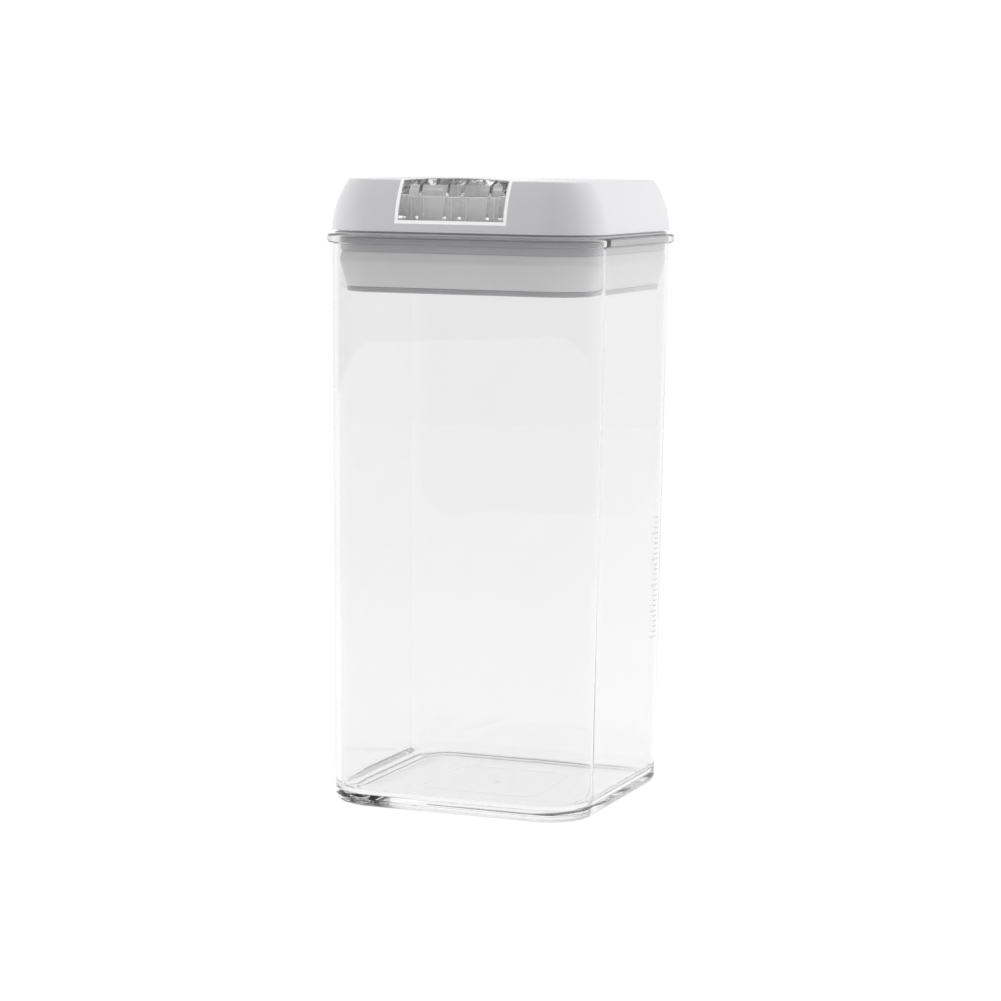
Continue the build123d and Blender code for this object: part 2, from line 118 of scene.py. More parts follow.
def grow(name, tree, values):
    # runs a geometry tree on an empty mesh and keeps the plain result
    obj = placed(bpy.data.objects.new(name, bpy.data.meshes.new(name)))
    mod = obj.modifiers.new("grow", "NODES")
    mod.node_group = tree
    for item in tree.interface.items_tree:
        if item.in_out == "INPUT" and item.name in values:
            mod[item.identifier] = values[item.name]
    return bake(obj)


def smooth(obj, degrees=32):
    obj.data.shade_smooth()
    obj.data.set_sharp_from_angle(angle=math.radians(degrees))
    return obj


def boolean(obj, other, how):
    mod = obj.modifiers.new("bool", "BOOLEAN")
    mod.object = other
    mod.operation = how
    mod.solver = "EXACT"
    bake(obj)
    bpy.data.objects.remove(other)
    return obj


def fromBmesh(name, bm):
    mesh = bpy.data.meshes.new(name)
    bm.to_mesh(mesh)
    bm.free()
    return placed(bpy.data.objects.new(name, mesh))


def rounded(points, perTurn=32):
    # (x, y) or (x, y, radius) corners -> a dense path with arcs, ends left as they are
    path = []
    last = len(points) - 1
    for k, corner in enumerate(points):
        here = Vector(corner[:2])
        radius = corner[2] if len(corner) > 2 else 0
        if radius == 0:
            path.append(here)
            continue
        before = (Vector(points[k - 1][:2]) - here).normalized()
        after = (Vector(points[0 if k == last else k + 1][:2]) - here).normalized()
        half = before.angle(after) / 2
        reach = radius / math.tan(half)
        centre = here + (before + after).normalized() * (radius / math.sin(half))
        start = here + before * reach - centre
        turn = math.pi - 2 * half
        sign = 1 if start.cross(here + after * reach - centre) > 0 else -1
        steps = max(2, round(perTurn * turn / tau * 2))
        for n in range(steps + 1):
            path.append(centre + Matrix.Rotation(sign * turn * n / steps, 2) @ start)
    return path


def arcPoints(centre, radius, fromAngle, toAngle, steps):
    return [
        (centre[0] + radius * math.cos(a), centre[1] + radius * math.sin(a))
        for a in (fromAngle + (toAngle - fromAngle) * n / steps for n in range(steps + 1))
    ]


# every ring-shaped piece is one profile swept round the same rounded square

square = {"halfWidth": 53.0, "corner": 20.0, "cornerSteps": 24, "leastCorner": 0.5}
# an open profile ends here, and its ends are then capped flat
middle = square["halfWidth"] - square["corner"] + square["leastCorner"]


def sweepTree():
    tree, given = startTree("sweepRound", {
        "Side": ("Float", 0.1), "Corner": ("Float", 0.02), "Corner Steps": ("Int", 24),
        "Profile": ("Object", None), "Material": ("Material", None)})
    sides = addNode(tree, "GeometryNodeCurvePrimitiveQuadrilateral",
                    {"Width": (given, "Side"), "Height": (given, "Side")})
    path = addNode(tree, "GeometryNodeFilletCurve",
                   {"Curve": (sides, 0), "Radius": (given, "Corner"),
                    "Count": (given, "Corner Steps")}, mode="POLY")
    outline = addNode(tree, "GeometryNodeObjectInfo", {"Object": (given, "Profile")})
    skin = addNode(tree, "GeometryNodeCurveToMesh",
                   {"Curve": (path, 0), "Profile Curve": (outline, "Geometry")})
    endTree(tree, skin, given)
    return tree


sweepRound = sweepTree()


def swept(name, profile, closed):
    # profile: (half width, height) in mm; an open one is capped flat at both ends
    curve = bpy.data.curves.new(name + "Profile", "CURVE")
    curve.dimensions = "3D"
    line = curve.splines.new("POLY")
    line.points.add(len(profile) - 1)
    for point, (half, z) in zip(line.points, profile):
        point.co = ((half - square["halfWidth"]) * mm, -z * mm, 0, 1)
    line.use_cyclic_u = closed
    outline = placed(bpy.data.objects.new(name + "Profile", curve))
    obj = grow(name, sweepRound, {
        "Side": 2 * square["halfWidth"] * mm, "Corner": square["corner"] * mm,
        "Corner Steps": square["cornerSteps"], "Profile": outline})
    bpy.data.objects.remove(outline)
    bm = bmesh.new()
    bm.from_mesh(obj.data)
    bmesh.ops.remove_doubles(bm, verts=bm.verts, dist=1e-6)
    if not closed:
        bmesh.ops.holes_fill(bm, edges=[e for e in bm.edges if e.is_boundary], sides=0)
    bmesh.ops.recalc_face_normals(bm, faces=bm.faces)
    bm.to_mesh(obj.data)
    bm.free()
    return obj


def prism(name, outline, low, high, axis="Z"):
    # a closed outline in mm, extruded along Z, or along X where it is drawn as (y, z)
    bm = bmesh.new()
    rings = []
    for level in (low, high):
        if axis == "Z":
            ring = [bm.verts.new((p[0] * mm, p[1] * mm, level * mm)) for p in outline]
        else:
            ring = [bm.verts.new((level * mm, p[0] * mm, p[1] * mm)) for p in outline]
        rings.append(ring)
        bm.faces.new(ring)
    count = len(outline)
    for k in range(count):
        n = (k + 1) % count
        bm.faces.new((rings[0][k], rings[0][n], rings[1][n], rings[1][k]))
    bmesh.ops.recalc_face_normals(bm, faces=bm.faces)
    return fromBmesh(name, bm)


def roundedSquare(half, radius, perTurn=48):
    return rounded([(half, -half, radius), (half, half, radius),
                    (-half, half, radius), (-half, -half, radius)], perTurn)


def circle(radius, y=0.0, z=0.0, count=64):
    return [(y + radius * math.cos(tau * k / count), z + radius * math.sin(tau * k / count))
            for k in range(count)]


# materials: pattern scales are cells per metre, so a grain of 2500 is 0.4 mm wide; real moulded
# grain is finer, and is drawn this coarse so that it shows at all

def startMaterial(name):
    material = bpy.data.materials.new(name)
    material.use_nodes = True
    tree = material.node_tree
    tree.nodes.clear()
    where = addNode(tree, "ShaderNodeTexCoord")
    return material, tree, where


def endMaterial(material, tree, shader):
    addNode(tree, "ShaderNodeOutputMaterial", {"Surface": (shader, "BSDF")})
    return material


def clearPlastic(name, look):
    # clear plastic from a polished tool: sharp reflections, a slow ripple where it flowed
    material, tree, where = startMaterial(name)
    flow = addNode(tree, "ShaderNodeMapping", {"Vector": (where, "Object"),
                   "Scale": look["flowScale"]})
    waves = addNode(tree, "ShaderNodeTexNoise", {"Vector": (flow, 0), "Scale": 1.0,
                    "Detail": 1.0, "Roughness": 0.4})
    handling = addNode(tree, "ShaderNodeTexNoise", {"Vector": (where, "Object"),
                       "Scale": look["hazeScale"], "Detail": 4.0, "Roughness": 0.6})
    haze = addNode(tree, "ShaderNodeMapRange", {"Value": (handling, "Fac"), "From Min": 0.35,
                   "From Max": 0.75, "To Min": look["roughLow"], "To Max": look["roughHigh"]})
    tint = addNode(tree, "ShaderNodeMix", {"Factor": (handling, "Fac"),
                   "A": linear(look["colourA"]), "B": linear(look["colourB"])}, data_type="RGBA")
    bump = addNode(tree, "ShaderNodeBump", {"Height": (waves, "Fac"),
                   "Strength": look["waveStrength"], "Distance": look["waveHeight"]})
    shader = addNode(tree, "ShaderNodeBsdfPrincipled", {
        "Base Color": (tint, "Result"), "Roughness": (haze, "Result"), "Normal": (bump, "Normal"),
        "IOR": look["ior"], "Transmission Weight": 1.0})
    # lamps shine through the wall on to what is behind it
    rays = addNode(tree, "ShaderNodeLightPath")
    share = look["lampShare"]
    way = addNode(tree, "ShaderNodeBsdfTransparent", {"Color": (share, share, share, 1.0)})
    both = addNode(tree, "ShaderNodeMixShader", {
        0: (rays, "Is Shadow Ray"), 1: (shader, "BSDF"), 2: (way, "BSDF")})
    addNode(tree, "ShaderNodeOutputMaterial", {"Surface": (both, 0)})
    return material


def mouldedPlastic(name, look):
    # opaque plastic or rubber, injection moulded: a skin with fine grain and slow gloss changes
    material, tree, where = startMaterial(name)
    grain = addNode(tree, "ShaderNodeTexNoise", {"Vector": (where, "Object"),
                    "Scale": look["grainScale"], "Detail": 2.0})
    cloud = addNode(tree, "ShaderNodeTexNoise", {"Vector": (where, "Object"),
                    "Scale": look["cloudScale"], "Detail": 3.0})
    gloss = addNode(tree, "ShaderNodeMapRange", {"Value": (cloud, "Fac"), "From Min": 0.3,
                    "From Max": 0.7, "To Min": look["roughLow"], "To Max": look["roughHigh"]})
    colour = addNode(tree, "ShaderNodeMix", {"Factor": (cloud, "Fac"),
                     "A": linear(look["colourA"]), "B": linear(look["colourB"])}, data_type="RGBA")
    bump = addNode(tree, "ShaderNodeBump", {"Height": (grain, "Fac"),
                   "Strength": look["grainStrength"], "Distance": look["grainHeight"]})
    shader = addNode(tree, "ShaderNodeBsdfPrincipled", {
        "Base Color": (colour, "Result"), "Roughness": (gloss, "Result"),
        "Normal": (bump, "Normal"), "IOR": look["ior"],
        "Subsurface Weight": look["subsurface"], "Subsurface Scale": 0.002})
    return endMaterial(material, tree, shader)


def drawnSteel(name, look):
    # drawn or rolled steel: fine lines along the working direction
    material, tree, where = startMaterial(name)
    along = addNode(tree, "ShaderNodeMapping", {"Vector": (where, "Object"),
                    "Scale": look["lineScale"]})
    lines = addNode(tree, "ShaderNodeTexNoise", {"Vector": (along, 0), "Scale": 1.0,
                    "Detail": 4.0})
    gloss = addNode(tree, "ShaderNodeMapRange", {"Value": (lines, "Fac"), "From Min": 0.3,
                    "From Max": 0.7, "To Min": look["roughLow"], "To Max": look["roughHigh"]})
    colour = addNode(tree, "ShaderNodeMix", {"Factor": (lines, "Fac"),
                     "A": linear(look["colourA"]), "B": linear(look["colourB"])}, data_type="RGBA")
    bump = addNode(tree, "ShaderNodeBump", {"Height": (lines, "Fac"), "Strength": 0.2,
                   "Distance": 0.00002})
    shader = addNode(tree, "ShaderNodeBsdfPrincipled", {
        "Base Color": (colour, "Result"), "Roughness": (gloss, "Result"),
        "Normal": (bump, "Normal"), "Metallic": 1.0})
    return endMaterial(material, tree, shader)


# styrene-acrylonitrile, moulded: as clear as glass, ripples run up the walls
clearJar = clearPlastic("clearSanMoulded", {
    "colourA": "#F5F5F5", "colourB": "#F7F7F7", "ior": 1.49,
    "roughLow": 0.0, "roughHigh": 0.03, "hazeScale": 60.0,
    "flowScale": (40.0, 40.0, 9.0), "waveStrength": 0.06, "waveHeight": 0.0002,
    "lampShare": 1.0})
# acrylic, moulded thick: clearer still, so its ribs glint
clearHandle = clearPlastic("clearAcrylicMoulded", {
    "colourA": "#FCFCFC", "colourB": "#FEFEFE", "ior": 1.49,
    "roughLow": 0.0, "roughHigh": 0.03, "hazeScale": 90.0,
    "flowScale": (60.0, 20.0, 60.0), "waveStrength": 0.05, "waveHeight": 0.0001,
    "lampShare": 1.0})
# light grey ABS from a half-polished tool: broad soft highlights, even colour
glossAbs = mouldedPlastic("lightGreyAbsMoulded", {
    "colourA": "#BEBEC1", "colourB": "#C0C0C3", "ior": 1.53, "subsurface": 0.0,
    "roughLow": 0.25, "roughHigh": 0.27, "cloudScale": 14.0,
    "grainScale": 2500.0, "grainStrength": 0.12, "grainHeight": 0.00003})
# white ABS, a shade glossier than the shell
whiteAbs = mouldedPlastic("whiteAbsMoulded", {
    "colourA": "#F1F1F2", "colourB": "#F4F4F4", "ior": 1.53, "subsurface": 0.0,
    "roughLow": 0.2, "roughHigh": 0.28, "cloudScale": 30.0,
    "grainScale": 2500.0, "grainStrength": 0.1, "grainHeight": 0.00003})
# light grey print on the raised marks: dull against the clear wall
markInk = mouldedPlastic("greyPrintInk", {
    "colourA": "#B8B9BA", "colourB": "#C0C1C2", "ior": 1.5, "subsurface": 0.0,
    "roughLow": 0.4, "roughHigh": 0.5, "cloudScale": 400.0,
    "grainScale": 4000.0, "grainStrength": 0.1, "grainHeight": 0.00002})
# white polypropylene: a waxy satin
satinPp = mouldedPlastic("whitePolypropyleneMoulded", {
    "colourA": "#EDEEEE", "colourB": "#F1F1F1", "ior": 1.49, "subsurface": 0.0,
    "roughLow": 0.32, "roughHigh": 0.42, "cloudScale": 35.0,
    "grainScale": 1800.0, "grainStrength": 0.15, "grainHeight": 0.00004})
# white silicone rubber: matt, with a coarser skin than the plastics
softSilicone = mouldedPlastic("whiteSiliconeMoulded", {
    "colourA": "#F6F6F7", "colourB": "#F9F9FA", "ior": 1.41, "subsurface": 0.0,
    "roughLow": 0.42, "roughHigh": 0.55, "cloudScale": 70.0,
    "grainScale": 900.0, "grainStrength": 0.2, "grainHeight": 0.00005})
# white acetal: slick and slightly milky
stemPom = mouldedPlastic("whiteAcetalMoulded", {
    "colourA": "#E9E9E7", "colourB": "#EFEFED", "ior": 1.48, "subsurface": 0.1,
    "roughLow": 0.35, "roughHigh": 0.45, "cloudScale": 90.0,
    "grainScale": 1500.0, "grainStrength": 0.15, "grainHeight": 0.00003})
# stainless wire and strip: fine lines along X
stainless = drawnSteel("stainlessDrawn", {
    "colourA": "#B9B9BA", "colourB": "#CFCFD0", "roughLow": 0.2, "roughHigh": 0.34,
    "lineScale": (60.0, 4000.0, 4000.0)})
# zinc plate on turned steel: paler, with lines round the shank
zincScrew = drawnSteel("zincPlatedSteel", {
    "colourA": "#C6C8CA", "colourB": "#D8D9DA", "roughLow": 0.24, "roughHigh": 0.36,
    "lineScale": (2500.0, 2500.0, 300.0)})
print("materials made")


def finish(obj, body, material, slotName, *nodes):
    obj.data.materials.clear()
    obj.data.materials.append(material)
    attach(obj, body)
    if nodes:
        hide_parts(*nodes)
    return obj


def finishedCopy(node, name, body, material, slotName, degrees=32):
    # the CAD shape with its triangles joined, so that curved faces shade smoothly
    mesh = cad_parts[node].data.copy()
    obj = placed(bpy.data.objects.new(name, mesh))
    bm = bmesh.new()
    bm.from_mesh(mesh)
    bmesh.ops.remove_doubles(bm, verts=bm.verts, dist=2e-6)
    bmesh.ops.dissolve_limit(bm, angle_limit=math.radians(0.2), verts=bm.verts, edges=bm.edges)
    bm.to_mesh(mesh)
    bm.free()
    smooth(obj, degrees)
    return finish(obj, body, material, slotName, node)


# the jar

jar = {
    "topHalf": 53.0, "baseHalf": 50.9, "height": 211.5, "rimHalf": 55.0, "rimThick": 3.4,
    "rimEdge": 1.1, "rimFillet": 0.5, "wall": 2.2, "footEdge": 3.4, "footRing": 5.0,
    "footLean": 1.0, "footTip": 0.3, "recess": 1.0, "recessFillet": 0.5,
    "floor": 3.0, "floorEdge": 4.5, "mouthEdge": 0.4,
    "padHalf": 23.0, "padCorner": 6.0, "padStep": 0.4,
    "gateRadius": 1.6, "gateHeight": 0.5, "gateLength": 1.5}


def jarHalf(z):
    share = z / (jar["height"] - jar["rimThick"])
    return jar["baseHalf"] + (jar["topHalf"] - jar["baseHalf"]) * share


def makeJar():
    rimUnder = jar["height"] - jar["rimThick"]
    floorTop = jar["recess"] + jar["floor"]
    ringIn = jarHalf(0) - jar["footEdge"] - jar["footRing"]
    profile = rounded([
        (middle, jar["recess"]),
        (ringIn, jar["recess"], jar["recessFillet"]),
        (ringIn + jar["footLean"], 0, jar["footTip"]),
        (jarHalf(0), 0, jar["footEdge"]),
        (jarHalf(rimUnder), rimUnder, jar["rimFillet"]),
        (jar["rimHalf"], rimUnder, jar["rimEdge"]),
        (jar["rimHalf"], jar["height"], jar["rimEdge"]),
        (jarHalf(jar["height"]) - jar["wall"], jar["height"], jar["mouthEdge"]),
        (jarHalf(floorTop) - jar["wall"], floorTop, jar["floorEdge"]),
        (middle, floorTop),
    ], 40)
    body = swept("canisterBody", profile, False)
    padTop = jar["recess"] + jar["padStep"]
    pad = prism("pad", roundedSquare(jar["padHalf"], jar["padCorner"]), 0, padTop)
    boolean(body, pad, "DIFFERENCE")
    low = padTop - jar["gateHeight"]
    gate = prism("gate", circle(jar["gateRadius"], count=32), low, low + jar["gateLength"])
    boolean(body, gate, "UNION")
    smooth(body, 28)
    return finish(body, "canister", clearJar, "clear_body", "canister_body")


makeJar()
print("jar made")

# measuring marks on the right side: fine raised ticks, every fifth one longer

marks = {"count": 24, "low": 58.0, "pitch": 2.0, "backEnd": 33.0, "short": 3.2, "long": 6.0,
         "every": 5, "line": 0.32, "proud": 0.12, "sunk": 0.3}


def markTree():
    tree, given = startTree("measuringMarks", {
        "Count": ("Int", 24), "Foot": ("Vector", (0.05, 0.0, 0.05)),
        "Step": ("Vector", (0.0, 0.0, 0.002)), "Tick": ("Vector", (0.001, 0.003, 0.0003)),
        "Long": ("Float", 2.0), "Every": ("Int", 5), "Material": ("Material", None)})
    spots = addNode(tree, "GeometryNodeMeshLine", {
        "Count": (given, "Count"), "Start Location": (given, "Foot"), "Offset": (given, "Step")},
        mode="OFFSET")
    tick = addNode(tree, "GeometryNodeMeshCube", {"Size": (given, "Tick")})
    # the cube grows from its back end, so the ticks line up there
    size = addNode(tree, "ShaderNodeSeparateXYZ", {0: (given, "Tick")})
    half = addNode(tree, "ShaderNodeMath", {0: (size, "Y"), 1: -0.5}, operation="MULTIPLY")
    shift = addNode(tree, "ShaderNodeCombineXYZ", {"Y": (half, 0)})
    seated = addNode(tree, "GeometryNodeTransform", {
        "Geometry": (tick, 0), "Translation": (shift, 0)})
    index = addNode(tree, "GeometryNodeInputIndex")
    rest = addNode(tree, "ShaderNodeMath", {0: (index, 0), 1: (given, "Every")},
                   operation="MODULO")
    isLong = addNode(tree, "ShaderNodeMath", {0: (rest, 0), 1: 0.5}, operation="LESS_THAN")
    stretch = addNode(tree, "ShaderNodeMapRange", {"Value": (isLong, 0), "To Min": 1.0,
                      "To Max": (given, "Long")})
    scale = addNode(tree, "ShaderNodeCombineXYZ", {"X": 1.0, "Y": (stretch, 0), "Z": 1.0})
    ticks = addNode(tree, "GeometryNodeInstanceOnPoints", {
        "Points": (spots, 0), "Instance": (seated, 0), "Scale": (scale, 0)})
    endTree(tree, ticks, given)
    return tree


def makeMarks():
    lean = (jarHalf(marks["low"] + marks["pitch"]) - jarHalf(marks["low"])) * mm
    middle = jarHalf(marks["low"]) + (marks["proud"] - marks["sunk"]) / 2
    ticks = grow("measuringMarks", markTree(), {
        "Count": marks["count"], "Foot": (middle * mm, marks["backEnd"] * mm, marks["low"] * mm),
        "Step": (lean, 0.0, marks["pitch"] * mm),
        "Tick": ((marks["proud"] + marks["sunk"]) * mm, marks["short"] * mm, marks["line"] * mm),
        "Long": marks["long"] / marks["short"], "Every": marks["every"]})
    return finish(ticks, "canister", markInk, "clear_body")


makeMarks()
print("measuring marks made")

# the silicone skirt between deck and press plate

sealLow, sealHigh = [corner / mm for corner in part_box("seal_gasket")]
seal = {"top": sealHigh.z, "under": sealLow.z, "topHalf": 49.535, "widest": 50.485,
        "foot": 47.635, "bulgeDrop": 3.6, "bulge": 3.0, "innerBulge": 2.0, "flange": 6.0,
        "wall": 1.6, "edge": 0.5, "tip": 0.2, "innerEdge": 0.3, "innerFoot": 0.4}


def makeSeal():
    bulgeZ = seal["top"] - seal["bulgeDrop"]
    wall = seal["wall"]
    profile = rounded([
        (seal["topHalf"] - seal["flange"], seal["top"], seal["tip"]),
        (seal["topHalf"], seal["top"], seal["edge"]),
        (seal["widest"], bulgeZ, seal["bulge"]),
        (seal["foot"], seal["under"], seal["edge"]),
        (seal["foot"] - seal["flange"], seal["under"], seal["tip"]),
        (seal["foot"] - seal["flange"], seal["under"] + wall, seal["innerEdge"]),
        (seal["foot"] - wall, seal["under"] + wall, seal["innerFoot"]),
        (seal["widest"] - wall, bulgeZ, seal["innerBulge"]),
        (seal["topHalf"] - wall, seal["top"] - wall, seal["innerEdge"]),
        (seal["topHalf"] - seal["flange"], seal["top"] - wall, seal["innerEdge"]),
    ], 48)
    skirt = smooth(swept("sealSkirt", profile, True), 40)
    skirt.data.materials.clear()
    skirt.data.materials.append(softSilicone)
    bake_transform(skirt)
    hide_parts("seal_gasket")
    return skirt


makeSeal()
print("seal made")

# the return spring, a wound wire

springLow, springHigh = [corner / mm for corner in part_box("return_spring")]
spring = {"radius": 8.0, "wire": 1.0, "turns": 4.5, "perTurn": 48, "around": 16}


def springTree():
    tree, given = startTree("woundWire", {
        "Turns": ("Float", 4.5), "Radius": ("Float", 0.008), "Height": ("Float", 0.012),
        "Per Turn": ("Int", 48), "Wire Radius": ("Float", 0.0005), "Around": ("Int", 16),
        "Foot": ("Vector", (0.0, 0.0, 0.0)), "Material": ("Material", None)})
    coil = addNode(tree, "GeometryNodeCurveSpiral", {
        "Resolution": (given, "Per Turn"), "Rotations": (given, "Turns"),
        "Start Radius": (given, "Radius"), "End Radius": (given, "Radius"),
        "Height": (given, "Height")})
    section = addNode(tree, "GeometryNodeCurvePrimitiveCircle", {
        "Resolution": (given, "Around"), "Radius": (given, "Wire Radius")}, mode="RADIUS")
    wire = addNode(tree, "GeometryNodeCurveToMesh", {
        "Curve": (coil, 0), "Profile Curve": (section, 0), "Fill Caps": True})
    lifted = addNode(tree, "GeometryNodeTransform", {
        "Geometry": (wire, 0), "Translation": (given, "Foot")})
    endTree(tree, lifted, given)
    return tree


def makeSpring():
    half = spring["wire"] / 2
    low, high = springLow.z + half, springHigh.z - half
    coil = grow("returnSpring", springTree(), {
        "Turns": spring["turns"], "Radius": spring["radius"] * mm,
        "Height": (high - low) * mm, "Per Turn": spring["perTurn"],
        "Wire Radius": half * mm, "Around": spring["around"],
        "Foot": (0.0, 0.0, low * mm)})
    smooth(coil, 60)
    coil.data.materials.clear()
    coil.data.materials.append(stainless)
    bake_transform(coil)
    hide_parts("return_spring")
    return coil


makeSpring()
print("spring made")

# four deck screws: one turned screw, set out on the corners of a square

screwLow, screwHigh = [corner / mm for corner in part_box("deck_screws")]
screw = {"headRadius": 2.8, "head": 1.8, "headEdge": 0.5, "headBack": 0.2,
         "shank": 1.4, "neck": 0.1, "point": 0.8, "pointIn": 0.6,
         "crossWidth": 0.6, "crossLong": 1.5, "crossDepth": 1.0}
screwSpread = screwHigh.x - screw["headRadius"]


def screwTree():
    tree, given = startTree("screwPattern", {
        "Spacing": ("Float", 0.07), "Foot": ("Vector", (0.0, 0.0, 0.2)),
        "Screw": ("Object", None), "Material": ("Material", None)})
    grid = addNode(tree, "GeometryNodeMeshGrid", {
        "Size X": (given, "Spacing"), "Size Y": (given, "Spacing"),
        "Vertices X": 2, "Vertices Y": 2})
    spots = addNode(tree, "GeometryNodeTransform", {
        "Geometry": (grid, 0), "Translation": (given, "Foot")})
    one = addNode(tree, "GeometryNodeObjectInfo", {"Object": (given, "Screw")})
    four = addNode(tree, "GeometryNodeInstanceOnPoints", {
        "Points": (spots, 0), "Instance": (one, "Geometry")})
    endTree(tree, four, given)
    return tree


def turned(name, outline, around=48):
    # (radius, height) points in mm, from the axis back to the axis, turned about Z
    bm = bmesh.new()
    rings = []
    for radius, z in outline:
        if radius == 0:
            rings.append([bm.verts.new((0, 0, z * mm))])
            continue
        rings.append([bm.verts.new((radius * mm * math.cos(tau * k / around),
                                    radius * mm * math.sin(tau * k / around), z * mm))
                      for k in range(around)])
    for low, high in zip(rings, rings[1:]):
        for k in range(around):
            n = (k + 1) % around
            corners = [low[k % len(low)], low[n % len(low)],
                       high[n % len(high)], high[k % len(high)]]
            bm.faces.new(list(dict.fromkeys(corners)))
    bmesh.ops.recalc_face_normals(bm, faces=bm.faces)
    return fromBmesh(name, bm)


def makeScrews():
    top = screwHigh.z - screwLow.z
    outline = rounded([
        (0, 0),
        (screw["headRadius"], 0, screw["headEdge"]),
        (screw["headRadius"], screw["head"], screw["headBack"]),
        (screw["shank"], screw["head"], screw["neck"]),
        (screw["shank"], top - screw["point"]),
        (screw["shank"] - screw["pointIn"], top),
        (0, top),
    ], 32)
    one = turned("oneScrew", outline)
    for along, across in ((screw["crossLong"], screw["crossWidth"] / 2),
                          (screw["crossWidth"] / 2, screw["crossLong"])):
        slot = [(-along, -across), (along, -across), (along, across), (-along, across)]
        boolean(one, prism("cross", slot, -1, screw["crossDepth"]), "DIFFERENCE")
    smooth(one, 35)
    four = grow("deckScrews", screwTree(), {
        "Spacing": 2 * screwSpread * mm, "Foot": (0.0, 0.0, screwLow.z * mm), "Screw": one})
    bpy.data.objects.remove(one)
    return finish(four, "lid", zincScrew, "steel_screws", "deck_screws")


makeScrews()
print("deck screws made")

# lid, lever and what hangs from them

lid = {
    "half": 53.25, "foot": 212.1, "top": 231.5, "inset": 6.3, "wall": 2.2, "topWall": 2.4,
    "topEdge": 0.9, "arcSteps": 28, "footEdge": 0.25,
    "beadIn": 50.75, "beadWidth": 1.4, "beadFoot": 211.5, "beadRise": 0.9, "beadLean": 1.2,
    "beadTip": 0.15, "beadEdge": 0.3, "beadRoot": 0.1, "shelf": 0.4, "joint": 0.001,
    "slotHalf": 21.6, "slotFloor": 215.8, "slotBack": 7.6, "slotFront": -56.25,
    "lipBack": -43.24, "bedUnder": 223.8, "wellFront": -11.287,
    "postRadius": 3.6, "postLow": 207.5, "postTop": 230.3, "pilot": 1.5, "pilotTop": 217.5,
    "cutOver": 5.0}


def domeArc(half, top):
    # the shell's side, upright at its foot and drawn in towards its top
    rise = lid["top"] - lid["foot"]
    radius = (rise ** 2 + lid["inset"] ** 2) / (2 * lid["inset"]) - (lid["half"] - half)
    return arcPoints((half - radius, lid["foot"]), radius, 0,
                     math.asin((top - lid["foot"]) / radius), lid["arcSteps"])


def makeLid():
    outer = domeArc(lid["half"], lid["top"])
    inner = domeArc(lid["half"] - lid["wall"], lid["top"] - lid["topWall"])
    edge = outer[-1]
    brow = rounded([outer[-2], (edge[0], edge[1], lid["topEdge"]), (middle, lid["top"])], 96)
    beadOut = lid["beadIn"] + lid["beadWidth"]
    shelf = lid["foot"] + lid["shelf"]
    profile = [Vector((middle, lid["top"] - lid["topWall"]))]
    profile += [Vector(p) for p in reversed(inner)]
    profile += rounded([
        (inner[0][0] - lid["joint"], shelf),
        (beadOut - lid["beadLean"], shelf),
        (lid["beadIn"], lid["beadFoot"] + lid["beadRise"]),
        (lid["beadIn"], lid["beadFoot"], lid["beadTip"]),
        (beadOut, lid["beadFoot"], lid["beadEdge"]),
        (beadOut, lid["foot"], lid["beadRoot"]),
        (lid["half"], lid["foot"], lid["footEdge"]),
    ], 32)
    profile += [Vector(p) for p in outer[1:-2]] + brow
    shell = swept("lidShell", profile, False)
    for x in (-screwSpread, screwSpread):
        for y in (-screwSpread, screwSpread):
            ring = [(x + p[0], y + p[1]) for p in circle(lid["postRadius"], count=40)]
            boolean(shell, prism("post", ring, lid["postLow"], lid["postTop"]), "UNION")
            hole = [(x + p[0], y + p[1]) for p in circle(lid["pilot"], count=32)]
            pilot = prism("pilot", hole, lid["postLow"] - 1, lid["pilotTop"])
            boolean(shell, pilot, "DIFFERENCE")
    front, over = lid["slotFront"], lid["top"] + lid["cutOver"]
    sideView = [(front, lid["slotFloor"]), (lid["lipBack"], lid["slotFloor"]),
                (lid["lipBack"], lid["bedUnder"]), (lid["wellFront"], lid["bedUnder"]),
                (lid["wellFront"], lid["slotFloor"]), (lid["slotBack"], lid["slotFloor"]),
                (lid["slotBack"], over), (front, over)]
    room = prism("slotRoom", sideView, -lid["slotHalf"], lid["slotHalf"], "X")
    boolean(shell, room, "DIFFERENCE")
    smooth(shell, 30)
    return finish(shell, "lid", glossAbs, "white_lid", "lid_cover")


makeLid()
finishedCopy("lever_well", "leverWell", "lid", whiteAbs, "white_well")
finishedCopy("lid_deck", "sealDeck", "lid", glossAbs, "white_deck")
finishedCopy("cam_plate", "camPlate", "lid", stainless, "spring_steel")
# painted shade: the press plate is given the grey shell plastic so that its edge stands in for the
# dark shaded line under the seal
finishedCopy("press_plate", "pressPlate", "plate", glossAbs, "white_deck")
finishedCopy("draw_stem", "drawStem", "plate", stemPom, "stem_plastic")
finishedCopy("stem_screw", "stemScrew", "plate", zincScrew, "steel_screws")
finishedCopy("seal_washer", "sealWasher", "plate", softSilicone, "silicone")
finishedCopy("screw_cap", "screwCap", "plate", satinPp, "white_deck")
finishedCopy("flip_lever", "flipLever", "lever", clearHandle, "clear_lever")
finishedCopy("lever_pin", "leverPin", "lever", stainless, "spring_steel")
print("lid made")

# studio

